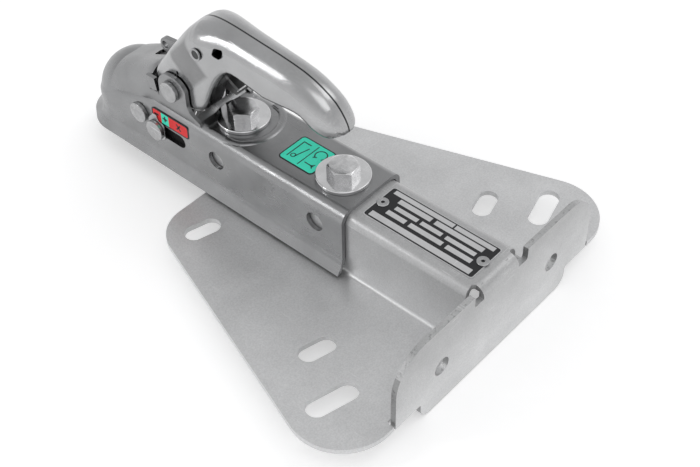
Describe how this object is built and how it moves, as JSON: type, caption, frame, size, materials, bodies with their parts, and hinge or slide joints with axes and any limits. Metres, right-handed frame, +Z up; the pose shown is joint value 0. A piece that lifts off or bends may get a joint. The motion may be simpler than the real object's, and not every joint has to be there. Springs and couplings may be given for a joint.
{
  "type": "trailer ball coupler",
  "caption": "Pressed-steel coupling head for a 50 mm tow ball with a lifting handle, safety catch and wear indicator, bolted to a flat V-drawbar bracket.",
  "frame": {"origin": "centre of the coupling ball", "axes": "+Z up, +Y back along the drawbar, +X to the side that carries the wear indicator's label"},
  "size_m": [0.2812, 0.3645, 0.1471],
  "materials": {
    "zinc_steel": "satin zinc plating",
    "handle_zinc": "satin zinc plating",
    "galvanised_steel": "fine-grained galvanised zinc",
    "bolt_zinc": "bright zinc plating",
    "washer_zinc": "bright, nearly mirror-like zinc plating",
    "spring_steel": "oiled spring wire",
    "cast_jaw": "rough cast, greased",
    "black_plate": "black anodised, matt",
    "teal_label": "printed film, satin",
    "red_label": "printed film, satin"
  },
  "bodies": {
    "head": {"coupling_head": "zinc_steel", "drawbar_bracket": "galvanised_steel", "front_bolt": "bolt_zinc", "front_bolt_washer": "washer_zinc", "front_nut_washer": "washer_zinc", "front_nut": "bolt_zinc", "rear_bolt": "bolt_zinc", "rear_bolt_washer": "washer_zinc", "rear_nut_washer": "washer_zinc", "rear_nut": "bolt_zinc", "type_plate": "black_plate", "type_plate_rivet_front": "zinc_steel", "type_plate_rivet_rear": "zinc_steel", "operation_label": "teal_label", "wear_label": "red_label", "clamp_rivet": "zinc_steel", "jaw_spring": "spring_steel", "handle_pivot_pin": "zinc_steel"},
    "handle": {"handle_shell_near": "handle_zinc", "handle_shell_far": "handle_zinc", "handle_rivet": "zinc_steel", "lever_plate_near": "zinc_steel", "lever_plate_far": "zinc_steel", "lug_plate": "zinc_steel", "lug_rivet": "zinc_steel", "handle_spring": "spring_steel", "catch_spring": "spring_steel"},
    "catch": {"safety_catch": "zinc_steel"},
    "indicator": {"indicator_pin": "zinc_steel", "wear_pointer": "zinc_steel", "locking_roller_near": "zinc_steel", "locking_roller_far": "zinc_steel"},
    "jaw": {"ball_clamp_jaw": "cast_jaw"}
  },
  "joints": [
    {"name": "handle_lift", "type": "hinge", "parent": "head", "child": "handle", "pos_m": [0, 0.0657, 0.0421], "axis": [1, 0, 0], "range_deg": [0, 31], "stiffness_Nm_per_rad": 0.6, "springref_deg": -34.38},
    {"name": "catch_press", "type": "hinge", "parent": "handle", "child": "catch", "pos_m": [0, 0.091, 0.0827], "axis": [-1, 0, 0], "range_deg": [0, 8], "stiffness_Nm_per_rad": 0.08, "springref_deg": -22.92},
    {"name": "indicator_slide", "type": "slide", "parent": "head", "child": "indicator", "axis": [0, 1, 0], "range_m": [0, 0.022]},
    {"name": "jaw_swing", "type": "hinge", "parent": "head", "child": "jaw", "pos_m": [0, 0.0331, 0.0093], "axis": [1, 0, 0], "range_deg": [0, 20]}
  ],
  "couplings": [
    {"joint": "indicator_slide", "follows": "handle_lift", "m_per_rad": 0.04053},
    {"joint": "jaw_swing", "follows": "handle_lift", "ratio": 0.64}
  ]
}
